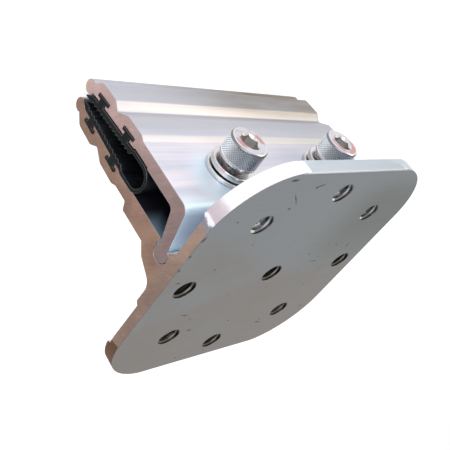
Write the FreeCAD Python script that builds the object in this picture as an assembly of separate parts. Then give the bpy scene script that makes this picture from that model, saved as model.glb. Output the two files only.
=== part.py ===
"""Standing seam roof clamp with a drilled mounting plate.

An aluminium extrusion carries the plate, the stem and one jaw. A second extrusion, the clamp
jaw, hooks a round bead into an open socket at the foot of the stem and swings on it. Two cap
screws with spring and flat washers pull the jaws together on a toothed rubber insert, whose
keys sit in the jaws' undercut grooves.

Frame, in millimetres: the origin is the centre of the plate's outer face, +Z is up out of the
plate, X runs along the extrusions and the jaws hang down. Depths are measured down from the
plate's outer face, and offsets sideways from the middle plane of the seam.
"""
import FreeCAD, Part
import math
import os

Vector = FreeCAD.Vector
X_AXIS = Vector(1, 0, 0)
Y_AXIS = Vector(0, 1, 0)

# Extrusion and mounting plate
profile_length = 100.0
plate_width = 100.0
plate_thick = 5.0
plate_corner_r = 25.0
plate_edge_break = 0.4
pad_height = 1.2
pad_inner_y = 29.2
pad_slope = 0.9
foot_pad_y = -9.1

# Tapped holes in the plate
hole_circle_d = 80.0
hole_count = 8
hole_r = 4.0
thread_depth = 8.0
tap_drill_r = 3.4
tap_drill_depth = 10.0
drill_point_deg = 118.0

# Roundings of the extrusions' section
tight_r = 0.3
edge_r = 0.5
groove_r = 0.9
crest_r = 1.4
swell_r = 1.9
flank_r = 2.5
root_r = 4.0
side_share = 0.45

# Jaws, the same on both sides of the seam
seam_y = 17.0
gap_half = 4.75
wall = 4.45
relief_top = 29.2
relief_length = 7.2
relief_depth = 0.5
relief_slope = 0.6
lean_deg = 3.6
relief_bottom = relief_top + relief_length
lean_depth = relief_bottom + relief_slope

# Outside of the gripping part, downwards: a shoulder, a groove, a second shoulder and the lip
shoulder_top = 35.3
shoulder_ramp = 2.0
shoulder_length = 7.9
shoulder_rise = 0.95
shoulder_taper = 0.3
groove_ramp = 4.4
groove_offset = 7.25
lower_ramp = 3.1
lower_length = 7.9
lower_offset = 9.25
lower_taper = 0.45
neck_ramp = 2.8
neck_offset = 6.1
lip_drop = 1.2
lip_r = 2.4
lip_offset = 3.75
shoulder_full = shoulder_top + shoulder_ramp
shoulder_end = shoulder_full + shoulder_length
groove_depth = shoulder_end + groove_ramp
lower_top = groove_depth + lower_ramp
lower_end = lower_top + lower_length
neck_depth = lower_end + neck_ramp
lip_depth = neck_depth + lip_drop

# Undercut grooves that hold the rubber's keys
first_key_drop = 4.5
key_spacing = 15.1
slot_head = 6.2
slot_neck = 3.2
slot_lip = 1.1
slot_room = 1.35
first_key_depth = lean_depth + first_key_drop
key_depths = (first_key_depth, first_key_depth + key_spacing)

# Stem and thick tapped band of the plate's own jaw
band_wall = 7.15
band_top = 16.1
band_bottom = 28.0
band_step = 1.2
stem_flank_y = 1.9
stem_flank_depth = 13.0
stem_root_y = -1.6

# Bead hinge between the two extrusions
pivot_y = 9.2
pivot_depth = 8.1
bead_r = 2.95
socket_clear = 0.2
socket_shift = 0.12
catch_deg = 45.0
catch_width = 0.7

# Leg of the clamp jaw, from the bead to its wall
leg_under_depth = 6.55
leg_under_slope = 0.218
leg_top_depth = 10.75
leg_top_slope = 0.347
bend_outer_r = 3.2
bend_inner_r = 2.2
swing_deg = 6.0

# Cap screws and washers
screw_spacing = 48.0
screw_depth = 23.0
screw_length = 30.0
screw_r = 4.0
thread_clear = 0.05
screw_tip_chamfer = 0.8
head_r = 6.4
head_height = 7.75
head_edge_r = 0.9
head_foot_chamfer = 0.4
key_flats = 6.0
key_depth = 4.0
shank_slot_clear = 0.5
flat_r = 8.0
flat_bore_r = 4.2
flat_thick = 1.4
flat_edge = 0.3
spring_r = 7.4
spring_bore_r = 4.1
spring_thick = 2.0
spring_rise = 0.7
spring_gap_deg = 14.0
spring_steps = 36
head_gap = 1.25
socket_cone_deg = 120.0
socket_lead = 0.3

# Rubber insert
rubber_clear = 0.3
rubber_wall = 1.4
bulb_wall = 1.2
rubber_overhang = 0.4
bulb_press = 1.45
rubber_tip_rise = 0.6
rubber_shoulder_rise = 3.6
shank_press_clear = 0.15
tooth_pitch = 1.9
tooth_height = 0.75
first_tooth_drop = 0.7
last_tooth_rise = 3.4
key_clear = 0.15
rubber_tip = lip_depth - rubber_tip_rise
rubber_shoulder = lip_depth - rubber_shoulder_rise
first_tooth = lean_depth + first_tooth_drop
bulb_r = gap_half + relief_depth - rubber_clear
bulb_depth = screw_depth + screw_r - bulb_press + bulb_r


def at(y, depth, x=0.0):
    """Point at a distance y across the plate and a depth below its outer face."""
    return Vector(x, y, -depth)


def rounded_outline(corners, x):
    """Closed wire in a plane across X.

    Args:
        corners: (y, depth, radius) for each corner, in order; a radius of 0 keeps it sharp, and
            an arc takes no more of a side than the share given above.
        x: Place of the plane.

    Returns:
        The wire, with a tangent arc at each rounded corner.
    """
    edges = []
    joints = []
    count = len(corners)
    for index, (y, depth, radius) in enumerate(corners):
        corner = at(y, depth, x)
        if radius == 0:
            joints.append((corner, None, corner))
            continue
        back = at(*corners[index - 1][:2], x) - corner
        ahead = at(*corners[(index + 1) % count][:2], x) - corner
        half = back.getAngle(ahead) / 2
        reach = min(radius / math.tan(half), side_share * min(back.Length, ahead.Length))
        radius = reach * math.tan(half)
        back.normalize()
        ahead.normalize()
        middle = back + ahead
        middle.normalize()
        crown = corner + middle * (radius / math.sin(half) - radius)
        joints.append((corner + back * reach, crown, corner + ahead * reach))
    for index, (start, crown, end) in enumerate(joints):
        if crown is not None:
            edges.append(Part.Arc(start, crown, end).toShape())
        following = joints[(index + 1) % count][0]
        if end.distanceToPoint(following) > 1e-6:
            edges.append(Part.LineSegment(end, following).toShape())
    return Part.Wire(edges)


def extruded(corners, length=profile_length):
    """Bar along X, centred on the plate, with the rounded outline as its section."""
    wire = rounded_outline(corners, -length / 2)
    return Part.Face(wire).extrude(X_AXIS * length)


def bar(radius, y, depth, length=profile_length):
    """Round bar along X, centred on the plate."""
    return Part.makeCylinder(radius, length, at(y, depth, -length / 2), X_AXIS)


def face_offset(depth):
    """Offset of a jaw's gripping face from the seam's middle plane at a depth."""
    return gap_half - max(depth - lean_depth, 0) * math.tan(math.radians(lean_deg))


def beside_seam(side, points):
    """Turn (offset, depth, radius) into (y, depth, radius) on one side of the seam."""
    return [(seam_y + side * offset, depth, radius) for offset, depth, radius in points]


def grip_inside():
    """Gripping face of a jaw from the top of the relief down to the lip."""
    deep = gap_half + relief_depth
    return [
        (gap_half, relief_top - relief_slope, 0),
        (deep, relief_top, 0),
        (deep, relief_bottom, 0),
        (gap_half, lean_depth, 0),
        (face_offset(lip_depth), lip_depth, 0),
    ]


def grip_outside():
    """Outer contour of a jaw from the lip up to the plain wall."""
    outer = gap_half + wall
    return [
        (neck_offset, neck_depth, tight_r),
        (lower_offset - lower_taper, lower_end, swell_r),
        (lower_offset, lower_top, crest_r),
        (groove_offset, groove_depth, groove_r),
        (outer + shoulder_rise - shoulder_taper, shoulder_end, swell_r),
        (outer + shoulder_rise, shoulder_full, crest_r),
        (outer, shoulder_top, groove_r),
    ]


def keyway(side, depth, half_head, half_neck, start, lip, room):
    """Undercut section, a T lying on its side, square to the gripping face.

    Args:
        side: -1 for the plate's jaw, 1 for the clamp jaw.
        depth: Where its middle meets the gripping face.
        half_head: Half the width of the T's bar.
        half_neck: Half the width of the T's stem.
        start: Where the stem starts, measured into the jaw from the gripping face.
        lip: Where the bar starts.
        room: Thickness of the bar.
    """
    lean = math.radians(lean_deg)
    section = [
        (start, -half_neck),
        (lip, -half_neck),
        (lip, -half_head),
        (lip + room, -half_head),
        (lip + room, half_head),
        (lip, half_head),
        (lip, half_neck),
        (start, half_neck),
    ]
    corners = []
    for inward, along in section:
        offset = face_offset(depth) + inward * math.cos(lean) - along * math.sin(lean)
        down = depth + inward * math.sin(lean) + along * math.cos(lean)
        corners.append((seam_y + side * offset, down, 0))
    return corners


def grip_cuts(side):
    """Both keyways of one jaw, as bars to cut away."""
    cuts = []
    for depth in key_depths:
        section = keyway(side, depth, slot_head / 2, slot_neck / 2, -1.0, slot_lip, slot_room)
        cuts.append(extruded(section))
    return cuts


def lip(side):
    """Round lip at the tip of a jaw."""
    return bar(lip_r, seam_y + side * lip_offset, lip_depth)


def screw_places():
    """X of each screw, by the name of its end."""
    return {"near": -screw_spacing / 2, "far": screw_spacing / 2}


def plate_corner_cuts():
    """The four square corners outside the plate's round ones."""
    cuts = []
    reach = plate_corner_r + 1
    deep = plate_thick + 1
    for side_x in (-1, 1):
        for side_y in (-1, 1):
            x = side_x * (profile_length / 2 - plate_corner_r)
            y = side_y * (plate_width / 2 - plate_corner_r)
            block = Part.makeBox(reach, reach, deep + 1)
            corner = Vector(min(x, x + side_x * reach), min(y, y + side_y * reach), -deep)
            block.translate(corner)
            round_part = Part.makeCylinder(plate_corner_r, deep + 1, Vector(x, y, -deep))
            cuts.append(block.cut(round_part))
    return cuts


def tapped_hole(x, y, under_stem):
    """Hole in the plate at the thread's outer diameter, deeper under the stem.

    Args:
        x: Place along the extrusion.
        y: Place across the plate.
        under_stem: Whether the stem backs the hole, which is then a blind one.
    """
    if not under_stem:
        return Part.makeCylinder(hole_r, plate_thick + 2, Vector(x, y, -plate_thick - 1))
    thread = Part.makeCylinder(hole_r, thread_depth + 1, Vector(x, y, -thread_depth))
    drill = Part.makeCylinder(tap_drill_r, tap_drill_depth, Vector(x, y, -tap_drill_depth))
    point = tap_drill_r / math.tan(math.radians(drill_point_deg / 2))
    tip = Part.makeCone(0, tap_drill_r, point, Vector(x, y, -tap_drill_depth - point))
    return thread.fuse([drill, tip])


def plate_holes():
    """Ring of tapped holes and the one at its centre."""
    holes = [tapped_hole(0, 0, True)]
    for index in range(hole_count):
        angle = 2 * math.pi * index / hole_count
        x = hole_circle_d / 2 * math.cos(angle)
        y = hole_circle_d / 2 * math.sin(angle)
        holes.append(tapped_hole(x, y, abs(y) < hole_r))
    return holes


def make_base_jaw():
    """Plate, stem and fixed jaw: one extrusion, drilled and with its corners rounded."""
    thin = plate_thick - pad_height
    half = plate_width / 2
    catch = math.radians(catch_deg)
    socket_r = bead_r + socket_clear
    socket_depth = pivot_depth - socket_shift
    catch_y = pivot_y + socket_r * math.cos(catch)
    catch_depth = socket_depth - socket_r * math.sin(catch)
    inner_y = seam_y - gap_half
    ceiling = socket_depth + socket_r
    foot_y = catch_y + catch_width
    outline = [
        (-half, 0, plate_edge_break),
        (half, 0, plate_edge_break),
        (half, plate_thick, plate_edge_break),
        (pad_inner_y + pad_slope, plate_thick, tight_r),
        (pad_inner_y, thin, edge_r),
        (foot_y + catch_depth - thin, thin, edge_r),
        (foot_y, catch_depth, 0),
        (inner_y, catch_depth, 0),
        (inner_y, relief_top - relief_slope, 0),
    ]
    outline += beside_seam(-1, grip_inside()[1:])
    outline += beside_seam(-1, grip_outside())
    outline += [
        (seam_y - gap_half - wall, band_bottom + band_step, edge_r),
        (seam_y - gap_half - band_wall, band_bottom, groove_r),
        (seam_y - gap_half - band_wall, band_top, edge_r),
        (stem_flank_y, stem_flank_depth, flank_r),
        (stem_root_y, plate_thick, root_r),
        (foot_pad_y, plate_thick, tight_r),
        (foot_pad_y - pad_slope, thin, edge_r),
        (-pad_inner_y, thin, edge_r),
        (-pad_inner_y - pad_slope, plate_thick, tight_r),
        (-half, plate_thick, plate_edge_break),
    ]
    mouth = [
        (pivot_y, socket_depth, 0),
        (catch_y, catch_depth, 0),
        (seam_y, catch_depth, 0),
        (seam_y, ceiling, 0),
        (pivot_y, ceiling, 0),
    ]
    solid = extruded(outline).fuse(lip(-1))
    cuts = [bar(socket_r, pivot_y, socket_depth), extruded(mouth)]
    cuts += grip_cuts(-1) + plate_corner_cuts() + plate_holes()
    for x in screw_places().values():
        start = at(stem_flank_y, screw_depth, x)
        cuts.append(Part.makeCylinder(screw_r + thread_clear, inner_y, start, Y_AXIS))
    return solid.cut(cuts).removeSplitter()


def screw_slot(x):
    """Slot through the clamp jaw's wall, long enough for the screw while the jaw swings."""
    radius = screw_r + shank_slot_clear
    outer_y = seam_y + gap_half + wall
    run = (outer_y - pivot_y) * math.sin(math.radians(swing_deg))
    start_y = seam_y
    long = gap_half + wall + 1
    near = Part.makeCylinder(radius, long, at(start_y, screw_depth, x), Y_AXIS)
    far = Part.makeCylinder(radius, long, at(start_y, screw_depth + run, x), Y_AXIS)
    middle = Part.makeBox(2 * radius, long, run, at(start_y, screw_depth + run, x - radius))
    return near.fuse([far, middle]).removeSplitter()


def make_clamp_jaw():
    """Swinging jaw: bead, leg, bend, slotted wall and gripping part."""
    outer_y = seam_y + gap_half + wall
    inner_y = seam_y + gap_half
    under = leg_under_depth + (outer_y - pivot_y - bead_r) * leg_under_slope
    top = leg_top_depth + (inner_y - pivot_y - bead_r) * leg_top_slope
    heel = bead_r / 3
    outline = [
        (pivot_y + heel, leg_under_depth - (bead_r - heel) * leg_under_slope, 0),
        (outer_y, under, bend_outer_r),
    ]
    outline += beside_seam(1, reversed(grip_outside()))
    outline += beside_seam(1, reversed(grip_inside()))
    outline += [
        (inner_y, top, bend_inner_r),
        (pivot_y + heel, leg_top_depth - (bead_r - heel) * leg_top_slope, 0),
    ]
    solid = extruded(outline).fuse([bar(bead_r, pivot_y, pivot_depth), lip(1)])
    cuts = grip_cuts(1) + [screw_slot(x) for x in screw_places().values()]
    return solid.cut(cuts).removeSplitter()


def rubber_offset(depth, inward):
    """Offset in the rubber's wall, measured inward from its back."""
    return face_offset(depth) - rubber_clear - inward


def beside_lip(depth):
    """Offset that clears the round lip at a depth."""
    reach = lip_r + rubber_clear
    return lip_offset - math.sqrt(reach ** 2 - (lip_depth - depth) ** 2)


def rubber_side():
    """One wall of the insert as (offset, depth): down its back from the bulb, up its teeth."""
    neck = (rubber_shoulder + rubber_tip) / 2
    points = [
        (bulb_r, bulb_depth),
        (bulb_r, relief_bottom - rubber_clear),
        (rubber_offset(lean_depth, 0), lean_depth),
        (rubber_offset(rubber_shoulder, 0), rubber_shoulder),
        (min(beside_lip(neck), rubber_offset(neck, 0)), neck),
        (beside_lip(rubber_tip), rubber_tip),
        (rubber_offset(rubber_tip, rubber_wall + tooth_height), rubber_tip),
    ]
    tooth_count = 1 + int((rubber_tip - last_tooth_rise - first_tooth) / tooth_pitch)
    for index in reversed(range(tooth_count)):
        tip = first_tooth + index * tooth_pitch
        root = tip - tooth_pitch / 2
        points.append((rubber_offset(tip, rubber_wall + tooth_height), tip))
        points.append((rubber_offset(root, rubber_wall), root))
    points.append((bulb_r - bulb_wall, relief_bottom - rubber_clear))
    points.append((bulb_r - bulb_wall, bulb_depth))
    return points


def rubber_profile(length):
    """The toothed U with its round bulb, as a bar along X."""
    x = -length / 2
    edges = []
    for side in (-1, 1):
        wall_line = [at(seam_y + side * offset, depth, x) for offset, depth in rubber_side()]
        edges += [Part.LineSegment(a, b).toShape() for a, b in zip(wall_line, wall_line[1:])]
    for radius in (bulb_r, bulb_r - bulb_wall):
        left, right = (at(seam_y + side * radius, bulb_depth, x) for side in (-1, 1))
        edges.append(Part.Arc(left, at(seam_y, bulb_depth - radius, x), right).toShape())
    wire = Part.Wire(Part.__sortEdges__(edges))
    return Part.Face(wire).extrude(X_AXIS * length)


def bulb_dents(length):
    """Where the screws press the bulb in: the pressed wall, and the room for each shank."""
    outside = bar(bulb_r, seam_y, bulb_depth, length)
    walls = []
    rooms = []
    for x in screw_places().values():
        start = at(seam_y - bulb_r, screw_depth, x)
        room_r = screw_r + shank_press_clear
        pressed = Part.makeCylinder(room_r + bulb_wall, 2 * bulb_r, start, Y_AXIS)
        walls.append(pressed.common(outside))
        rooms.append(Part.makeCylinder(room_r, 2 * bulb_r, start, Y_AXIS))
    return walls, rooms


def make_rubber_insert():
    """Toothed rubber U over the seam, with a round bulb at its fold and keys on its back."""
    length = profile_length + 2 * rubber_overhang
    keys = []
    for side in (-1, 1):
        for depth in key_depths:
            half_head = slot_head / 2 - key_clear
            half_neck = slot_neck / 2 - key_clear
            start = -rubber_clear - rubber_wall / 2
            bar_room = slot_room - 2 * key_clear
            section = keyway(side, depth, half_head, half_neck, start, slot_lip + key_clear, bar_room)
            keys.append(extruded(section, length))
    walls, rooms = bulb_dents(length)
    return rubber_profile(length).fuse(keys + walls).cut(rooms).removeSplitter()


def stack_levels():
    """Y of the clamp jaw's outer face, the flat washer's top and the head's underside."""
    seat = seam_y + gap_half + wall
    spring_seat = seat + flat_thick
    return seat, spring_seat, spring_seat + spring_thick + spring_rise + head_gap


def revolved(profile, x):
    """Body of revolution about a screw's axis, from (radius, y) points."""
    points = [Vector(x + radius, y, -screw_depth) for radius, y in profile]
    face = Part.Face(Part.makePolygon(points + points[:1]))
    return face.revolve(at(0, screw_depth, x), Y_AXIS, 360)


def make_flat_washer(x):
    """Plain washer with its edges broken, flat on the clamp jaw."""
    seat, top, _ = stack_levels()
    profile = [
        (flat_bore_r, seat),
        (flat_r, seat),
        (flat_r, top - flat_edge),
        (flat_r - flat_edge, top),
        (flat_bore_r, top),
    ]
    return revolved(profile, x)


def flat_face(*points):
    """Plane face through its corners."""
    return Part.Face(Part.makePolygon(list(points) + [points[0]]))


def make_spring_washer(x):
    """Split ring of square section on a shallow helix, part pressed, its gap turned downwards."""
    _, seat, _ = stack_levels()
    turn = 360.0 - spring_gap_deg
    sections = []
    for step in range(spring_steps + 1):
        share = step / spring_steps
        angle = math.radians(spring_gap_deg / 2 + turn * share - 90.0)
        low = seat + spring_rise * share
        corners = []
        for radius, y in (
            (spring_bore_r, low),
            (spring_r, low),
            (spring_r, low + spring_thick),
            (spring_bore_r, low + spring_thick),
        ):
            corners.append(Vector(x + radius * math.cos(angle), y, radius * math.sin(angle) - screw_depth))
        sections.append(corners)
    faces = [flat_face(*sections[0]), flat_face(*sections[-1])]
    for before, after in zip(sections, sections[1:]):
        for side in range(4):
            across = (side + 1) % 4
            faces.append(flat_face(before[side], before[across], after[across]))
            faces.append(flat_face(before[side], after[across], after[side]))
    return Part.makeSolid(Part.makeShell(faces)).removeSplitter()


def make_cap_screw(x):
    """Socket head cap screw, threaded to its head, with its hexagon socket."""
    _, _, underside = stack_levels()
    top = underside + head_height
    tip = underside - screw_length
    body_r = head_r - head_foot_chamfer
    body = [
        (0, tip),
        (screw_r - screw_tip_chamfer, tip),
        (screw_r, tip + screw_tip_chamfer),
        (screw_r, underside),
        (body_r, underside),
        (head_r, underside + head_foot_chamfer),
    ]
    for step in range(5):
        angle = math.radians(90.0 * step / 4)
        radius = head_r - head_edge_r + head_edge_r * math.cos(angle)
        body.append((radius, top - head_edge_r + head_edge_r * math.sin(angle)))
    body.append((0, top))
    corner_r = key_flats / math.sqrt(3)
    corners = []
    for index in range(6):
        angle = math.radians(60.0 * index)
        reach_x = corner_r * math.cos(angle)
        reach_z = corner_r * math.sin(angle)
        corners.append(Vector(x + reach_x, top - key_depth, reach_z - screw_depth))
    socket = Part.Face(Part.makePolygon(corners + corners[:1])).extrude(Y_AXIS * (key_depth + 1))
    point = key_flats / 2 / math.tan(math.radians(socket_cone_deg / 2))
    floor = Part.makeCone(0, key_flats / 2, point, at(top - key_depth - point, screw_depth, x), Y_AXIS)
    lead_r = corner_r + socket_lead
    mouth = Part.makeCone(0, lead_r, lead_r, at(top - lead_r, screw_depth, x), Y_AXIS)
    lead = mouth.cut(Part.makeCylinder(key_flats / 2, lead_r, at(top - lead_r, screw_depth, x), Y_AXIS))
    return revolved(body, x).cut([socket, floor, lead]).removeSplitter()


def make_parts():
    """Every node of the clamp, by name."""
    parts = {
        "base_jaw": make_base_jaw(),
        "clamp_jaw": make_clamp_jaw(),
        "rubber_insert": make_rubber_insert(),
    }
    for end, x in screw_places().items():
        parts["flat_washer_" + end] = make_flat_washer(x)
        parts["spring_washer_" + end] = make_spring_washer(x)
        parts["cap_screw_" + end] = make_cap_screw(x)
    return parts


def main():
    """Build each node and write it as a STEP file."""
    os.makedirs("parts", exist_ok=True)
    for name, shape in make_parts().items():
        shape.exportStep("parts/" + name + ".step")
        print(name, "solids", len(shape.Solids), "valid", shape.isValid(), "volume", round(shape.Volume, 1))


main()
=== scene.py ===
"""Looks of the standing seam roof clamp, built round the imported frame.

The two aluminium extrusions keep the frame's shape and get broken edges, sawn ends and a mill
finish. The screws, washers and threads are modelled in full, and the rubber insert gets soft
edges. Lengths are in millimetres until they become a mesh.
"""

import logging
import math
from dataclasses import dataclass
from enum import Enum
from functools import cached_property
from typing import Any, Callable

import bmesh
import bpy
from mathutils import Matrix, Vector

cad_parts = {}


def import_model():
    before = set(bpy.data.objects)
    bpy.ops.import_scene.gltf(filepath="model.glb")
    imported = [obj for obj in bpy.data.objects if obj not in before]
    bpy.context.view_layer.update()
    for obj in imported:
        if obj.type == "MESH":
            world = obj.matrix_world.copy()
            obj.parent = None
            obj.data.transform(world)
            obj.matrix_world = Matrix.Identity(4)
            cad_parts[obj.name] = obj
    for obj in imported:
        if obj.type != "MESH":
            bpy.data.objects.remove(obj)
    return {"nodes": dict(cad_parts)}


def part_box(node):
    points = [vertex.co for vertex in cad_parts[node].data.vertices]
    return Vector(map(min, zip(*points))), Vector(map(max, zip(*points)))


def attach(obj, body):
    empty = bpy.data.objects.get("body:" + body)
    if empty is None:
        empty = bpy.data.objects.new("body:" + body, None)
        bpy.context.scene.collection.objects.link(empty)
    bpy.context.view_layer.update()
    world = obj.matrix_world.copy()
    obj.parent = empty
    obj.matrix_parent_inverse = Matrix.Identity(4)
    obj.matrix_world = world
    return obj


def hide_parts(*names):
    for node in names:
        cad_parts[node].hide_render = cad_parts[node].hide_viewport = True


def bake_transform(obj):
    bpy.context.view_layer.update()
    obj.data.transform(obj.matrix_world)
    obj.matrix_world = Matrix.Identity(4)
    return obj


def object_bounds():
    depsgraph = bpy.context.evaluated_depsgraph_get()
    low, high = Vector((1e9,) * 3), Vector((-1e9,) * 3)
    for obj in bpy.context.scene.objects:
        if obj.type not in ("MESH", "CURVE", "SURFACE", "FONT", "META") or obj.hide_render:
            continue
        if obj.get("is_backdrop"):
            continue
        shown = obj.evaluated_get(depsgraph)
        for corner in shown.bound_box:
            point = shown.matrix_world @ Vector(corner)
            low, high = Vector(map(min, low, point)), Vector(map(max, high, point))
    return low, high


LOG = logging.getLogger("roof_clamp")
MM = 0.001
PHOTO_PIXELS = 450
SENSOR_MM = 36.0
# Point of the object that the lamps and the grey card look at
TARGET = Vector((0.0, 0.0, -30.0))

# Steps of a full turn of a thread
THREAD_COLUMNS = 72
# Steps of a washer's rolled edge
ROLL_STEPS = 3
# Points closer than this are one: in a new skin, and in a mesh of the frame
WELD_MM = 0.0005
FRAME_WELD_MM = 0.001
# Faces that turn by less than this are one flat face
FLAT_DEG = 0.3

# Sockets of the Mix node when it mixes colours
MIX_FIRST = 6
MIX_SECOND = 7
MIX_RESULT = 2

Triple = tuple[float, float, float]
# Where the soft edge of a mask is still 0, and where it is full
Span = tuple[float, float]
# Where most of a noise lies
NOISE: Span = (0.3, 0.7)


class Body(Enum):
    """Bodies of the frame that pieces ride on."""

    BASE = "base"
    CLAMP = "clamp"


class Slot(Enum):
    """Material slots of the record."""

    EXTRUSION = "extrusion"
    RUBBER = "rubber"
    ZINC_STEEL = "zinc_steel"


class Zone(Enum):
    """Surfaces of an extrusion, in the order of its material slots."""

    EXTRUDED = 0
    SAWN = 1
    PLATE = 2
    MILLED = 3
    EDGE = 4
    BORE = 5


class Coat(Enum):
    """Zinc finishes of a screw, in the order of its material slots."""

    SMOOTH = 0
    KNURL = 1
    GROOVE = 2
    RING = 3
    RIM = 4
    SOCKET = 5


def linear(colour: str) -> tuple[float, float, float, float]:
    """Turn an sRGB hex colour into linear light.

    Args:
        colour: "#RRGGBB".

    Returns:
        Red, green, blue and an alpha of 1.
    """
    values = []
    for start in (1, 3, 5):
        share = int(colour[start:start + 2], 16) / 255
        values.append(share / 12.92 if share <= 0.04045 else ((share + 0.055) / 1.055) ** 2.4)
    return values[0], values[1], values[2], 1.0


@dataclass(frozen=True)
class Ramp:
    """Level that follows a value in a straight line from low to high, and is flat outside."""

    value: Any
    start: float
    end: float
    low: float = 0.0
    high: float = 1.0
    curve: str = "LINEAR"


@dataclass(frozen=True)
class Step(Ramp):
    """The same along a soft curve, which makes the edge of a mask."""

    curve: str = "SMOOTHSTEP"


@dataclass(frozen=True)
class Finish:
    """A finish in the making: its node tree, with the patterns and masks that it is made of."""

    name: str

    @cached_property
    def owner(self) -> bpy.types.Material:
        """The material that carries the finish."""
        return bpy.data.materials.new(self.name)

    @cached_property
    def tree(self) -> bpy.types.NodeTree:
        """Its node tree, empty at first."""
        self.owner.use_nodes = True
        self.owner.node_tree.nodes.clear()
        return self.owner.node_tree

    def add(self, kind: str, settings: dict[str, Any] | None = None,
            inputs: dict[str | int, Any] | None = None) -> bpy.types.Node:
        """Add a node with its settings and links.

        Args:
            kind: Type of the node, without its leading "ShaderNode".
            settings: Properties of the node, by name.
            inputs: What its inputs take, by name or number: a value, an output, a node, which
                gives its first output, or a ramp, which gets a node of its own.

        Returns:
            The new node.
        """
        node = self.tree.nodes.new("ShaderNode" + kind)
        for name, value in (settings or {}).items():
            setattr(node, name, value)
        for key, value in (inputs or {}).items():
            if isinstance(value, Ramp):
                value = self.add("MapRange", {"interpolation_type": value.curve}, {
                    "Value": value.value, "From Min": value.start, "From Max": value.end,
                    "To Min": value.low, "To Max": value.high})
            if isinstance(value, bpy.types.Node):
                value = value.outputs[0]
            if isinstance(value, bpy.types.NodeSocket):
                self.tree.links.new(value, node.inputs[key])
            else:
                node.inputs[key].default_value = value
        return node

    @cached_property
    def place(self) -> bpy.types.NodeSocket:
        """Object coordinates in millimetres, so that every pattern has a real size."""
        coordinates = self.add("TexCoord")
        scaled = self.add("VectorMath", {"operation": "SCALE"},
                          {0: coordinates.outputs["Object"], "Scale": 1 / MM})
        return scaled.outputs[0]

    @cached_property
    def axes(self) -> list[bpy.types.NodeSocket]:
        """X, Y and Z in millimetres."""
        return list(self.add("SeparateXYZ", {}, {0: self.place}).outputs)

    def streaks(self, size: Triple, turn: float = 0.0, detail: float = 3.0) -> bpy.types.Node:
        """Noise drawn out along one direction.

        Args:
            size: Length of a streak along X, Y and Z, in millimetres.
            turn: Turn about X, in degrees.
            detail: Finer steps of the noise.

        Returns:
            The noise, from 0 to 1.
        """
        mapped = self.add("Mapping", {"vector_type": "TEXTURE"}, {
            "Vector": self.place, "Rotation": (math.radians(turn), 0.0, 0.0), "Scale": size})
        return self.add("TexNoise", {}, {
            "Vector": mapped, "Scale": 1.0, "Detail": detail, "Roughness": 0.55})

    def join(self, operation: str, *parts: Any) -> Any:
        """Join masks, or other factors, one after another.

        Args:
            operation: How: such as MULTIPLY for where all hold, or MAXIMUM for where any does.
            parts: The masks: what an input takes.

        Returns:
            The joined mask, which an input takes too.
        """
        total, *rest = parts
        for part in rest:
            total = self.add("Math", {"operation": operation}, {0: total, 1: part})
        return total

    def layered(self, ground: str, *coats: tuple[Any, str]) -> Any:
        """Lay coats of colour over a ground.

        Args:
            ground: sRGB hex colour of the ground.
            coats: Share and sRGB hex colour of each coat, from the lowest up.

        Returns:
            The colour, which an input takes.
        """
        colour = linear(ground)
        for share, coat in coats:
            mix = self.add("Mix", {"data_type": "RGBA"}, {
                "Factor": share, MIX_FIRST: colour, MIX_SECOND: linear(coat)})
            colour = mix.outputs[MIX_RESULT]
        return colour

    def seen_rays(self) -> Any:
        """1 for rays of the camera, of reflections and through glass, which see the background."""
        path = self.add("LightPath")
        kinds = ("Is Camera Ray", "Is Glossy Ray", "Is Transmission Ray")
        return self.join("MAXIMUM", *(path.outputs[kind] for kind in kinds))

    def finished(self, height: Any, depth_mm: float, strength: float, inputs: dict[str, Any],
                 under: bpy.types.Node | None = None) -> bpy.types.Material:
        """Close the finish with its relief and its shader.

        Args:
            height: Pattern that stands out of the surface.
            depth_mm: How far it does.
            strength: How much of that shows.
            inputs: What the Principled shader takes, by name.
            under: Coarser relief that it lies on, if there is one.

        Returns:
            The material.
        """
        relief = {"Height": height, "Distance": depth_mm * MM, "Strength": strength}
        if under is not None:
            relief["Normal"] = under
        shader = self.add("BsdfPrincipled", {"distribution": "MULTI_GGX"}, {
            **inputs, "Normal": self.add("Bump", {}, relief)})
        self.add("OutputMaterial", {}, {"Surface": shader})
        return self.owner


@dataclass(frozen=True)
class Mark:
    """A dent or scratch on the plate's outer face, as a slender ellipse."""

    x: float
    y: float
    length: float
    width: float
    turn: float = 0.0


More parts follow.
